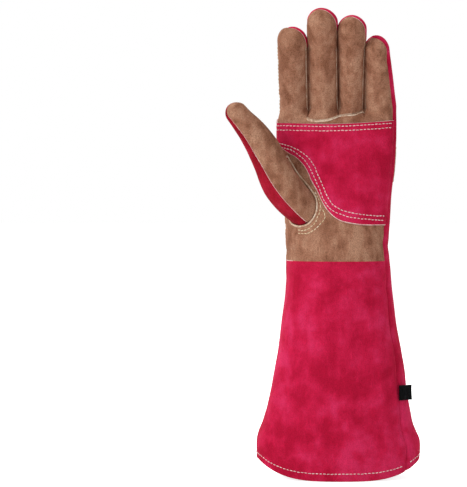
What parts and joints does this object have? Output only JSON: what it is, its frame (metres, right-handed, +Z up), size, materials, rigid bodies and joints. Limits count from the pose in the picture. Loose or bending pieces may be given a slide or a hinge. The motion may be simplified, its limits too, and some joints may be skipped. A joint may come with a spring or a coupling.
{
  "type": "leather welding gauntlet",
  "caption": "Long leather welding glove for the left hand with a flared cuff, palm patch, back strap and an inset thumb.",
  "frame": {"origin": "centre of the cuff mouth, at the lowest level of the hem", "axes": "+Z up along the glove from the cuff to the fingertips, -Y out of the palm, -X towards the thumb"},
  "size_m": [0.1695, 0.0843, 0.406],
  "materials": {
    "red_suede": "split suede leather, crimson pink, mottled",
    "dark_red_suede": "split suede leather, darker red",
    "brown_suede": "split suede leather, tan brown, mottled",
    "raw_edge": "cut leather edge, undyed",
    "black_tape": "woven tape"
  },
  "bodies": {
    "root": {"back_panel": "red_suede", "little_finger_back": "red_suede", "ring_finger_back": "red_suede", "middle_finger_back": "red_suede", "index_finger_back": "red_suede", "cuff_front": "red_suede", "palm_panel": "brown_suede", "middle_fingers_front": "brown_suede", "fourchette_little_ring": "brown_suede", "fourchette_ring_middle": "brown_suede", "fourchette_middle_index": "brown_suede", "thumb_front": "brown_suede", "thumb_back": "dark_red_suede", "palm_patch": "red_suede", "back_strap": "brown_suede", "thumb_opening_welt": "raw_edge", "finger_base_welt": "raw_edge", "side_tag": "black_tape"}
  },
  "joints": []
}
